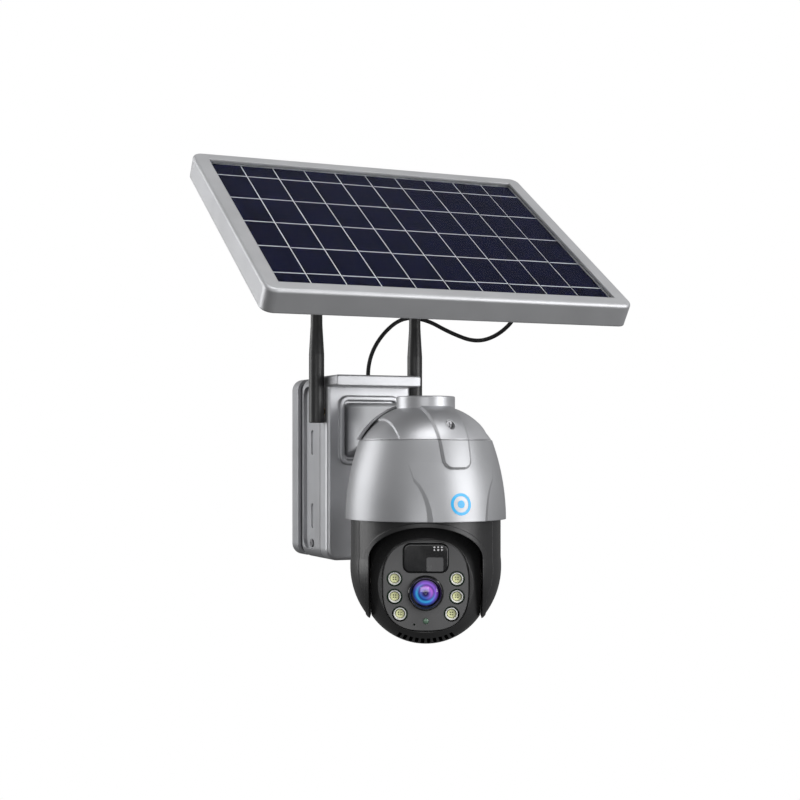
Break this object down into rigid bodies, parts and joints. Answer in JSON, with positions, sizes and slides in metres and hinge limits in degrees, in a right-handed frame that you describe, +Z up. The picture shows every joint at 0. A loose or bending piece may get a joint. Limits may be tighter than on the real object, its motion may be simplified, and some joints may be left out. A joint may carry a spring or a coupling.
{
  "type": "solar security camera",
  "caption": "Wall-mounted security camera with a turning dome head on an arm, whip antennas and a tilting solar panel on its own bracket.",
  "frame": {"origin": "centre of the wall plate's back face, on the wall", "axes": "+Z up, -Y away from the wall, +X to the right of someone facing the wall"},
  "size_m": [0.2708, 0.2396, 0.3537],
  "materials": {
    "painted_grey": "satin",
    "painted_light": "satin",
    "dark_grey": "matte",
    "face_grey": "matte",
    "black_rubber": "matte",
    "black_plastic": "matte",
    "gloss_black": "gloss",
    "board_green": "satin",
    "cell_wrap": "gloss",
    "screw_steel": "satin",
    "motor_steel": "satin",
    "gear_white": "satin",
    "brass": "satin",
    "frame_alu": "anodised",
    "cell_blue": "satin",
    "back_white": "matte",
    "clear_glass": "clear",
    "lens_glass": "coated",
    "reflector_white": "satin",
    "led_yellow": "satin"
  },
  "bodies": {
    "wall_box": {"wall_plate": "painted_grey", "box_rear_shell": "painted_grey", "box_seal": "black_rubber", "box_front_cover": "painted_grey", "box_side_screws": "screw_steel", "battery_cells": "cell_wrap", "battery_holder": "black_plastic", "power_board": "board_green", "modem_board": "board_green", "antenna_sockets": "brass", "power_switch": "board_green", "charging_port": "screw_steel", "cable_grommet": "black_rubber", "hood_cap": "painted_grey", "hood_shell": "painted_grey", "cap_screws": "screw_steel", "arm": "painted_grey", "arm_screws": "screw_steel", "arm_harness": "black_rubber", "dome_chassis": "black_plastic", "pan_bearing": "gear_white", "spindle_ring": "gear_white", "pan_motor": "motor_steel", "panel_bracket": "painted_grey", "hinge_bolt": "screw_steel", "solar_cable": "black_rubber"},
    "yoke": {"turntable": "dark_grey", "pan_gear": "gear_white", "yoke_front": "dark_grey", "yoke_rear": "dark_grey", "yoke_screws": "screw_steel", "tilt_gear": "gear_white", "tilt_axle": "gear_white"},
    "head": {"head_front_shell": "dark_grey", "head_rear_shell": "dark_grey", "face_plate": "face_grey", "front_board": "board_green", "led_reflectors": "reflector_white", "led_chips": "led_yellow", "pir_window": "gloss_black", "lens_ring": "gloss_black", "lens_glass": "lens_glass", "lens_barrel": "black_plastic", "sensor_board": "board_green", "tilt_motor": "motor_steel"},
    "panel": {"panel_frame": "frame_alu", "panel_glass": "clear_glass", "solar_cells": "cell_blue", "panel_backsheet": "back_white", "panel_back": "black_plastic", "junction_box": "black_plastic", "junction_gland": "black_rubber", "panel_hinge_mount": "painted_grey"},
    "power_button": {"power_button": "black_rubber"},
    "port_cover": {"port_cover": "black_rubber"},
    "antenna_left": {"antenna_left": "black_plastic"},
    "antenna_right": {"antenna_right": "black_plastic"},
    "bracket_knob": {"bracket_knob": "black_plastic"},
    "pan_pinion": {"pan_pinion": "gear_white"},
    "tilt_pinion": {"tilt_pinion": "gear_white"}
  },
  "joints": [
    {"name": "pan", "type": "hinge", "parent": "wall_box", "child": "yoke", "pos_m": [0, -0.182, 0], "axis": [0, 0, 1], "range_deg": [-152.9, 202.1]},
    {"name": "tilt", "type": "hinge", "parent": "yoke", "child": "head", "pos_m": [0, -0.182, -0.075], "axis": [0.9092, -0.4163, 0], "range_deg": [-15, 85]},
    {"name": "panel_tilt", "type": "hinge", "parent": "wall_box", "child": "panel", "pos_m": [0, -0.1335, 0.14902], "axis": [1, 0, 0], "range_deg": [-34, 26], "deforming": ["solar_cable"]},
    {"name": "antenna_left_swivel", "type": "hinge", "parent": "wall_box", "child": "antenna_left", "pos_m": [-0.0407, -0.0727, 0.043], "axis": [1, 0, 0], "range_deg": [-12, 90]},
    {"name": "antenna_right_swivel", "type": "hinge", "parent": "wall_box", "child": "antenna_right", "pos_m": [0.0407, -0.0727, 0.043], "axis": [1, 0, 0], "range_deg": [-12, 90]},
    {"name": "knob_turn", "type": "hinge", "parent": "wall_box", "child": "bracket_knob", "pos_m": [0.012, -0.1335, 0.14902], "axis": [1, 0, 0], "range_deg": [0, 360]},
    {"name": "power_button_press", "type": "slide", "parent": "wall_box", "child": "power_button", "axis": [0, 0, 1], "range_m": [0, 0.0008], "stiffness_N_per_m": 1500},
    {"name": "port_cover_flap", "type": "hinge", "parent": "wall_box", "child": "port_cover", "pos_m": [0.017, -0.044, -0.0709], "axis": [0, -1, 0], "range_deg": [0, 120]},
    {"name": "pan_pinion_turn", "type": "hinge", "parent": "wall_box", "child": "pan_pinion", "pos_m": [0.02217, -0.1948, -0.011], "axis": [0, 0, 1], "range_deg": [-610, 460]},
    {"name": "tilt_pinion_turn", "type": "hinge", "parent": "head", "child": "tilt_pinion", "pos_m": [0.00557, -0.16984, -0.05907], "axis": [0.9092, -0.4163, 0], "range_deg": [-35, 195]}
  ],
  "couplings": [
    {"joint": "pan_pinion_turn", "follows": "pan", "ratio": -3},
    {"joint": "tilt_pinion_turn", "follows": "tilt", "ratio": 2.25}
  ]
}
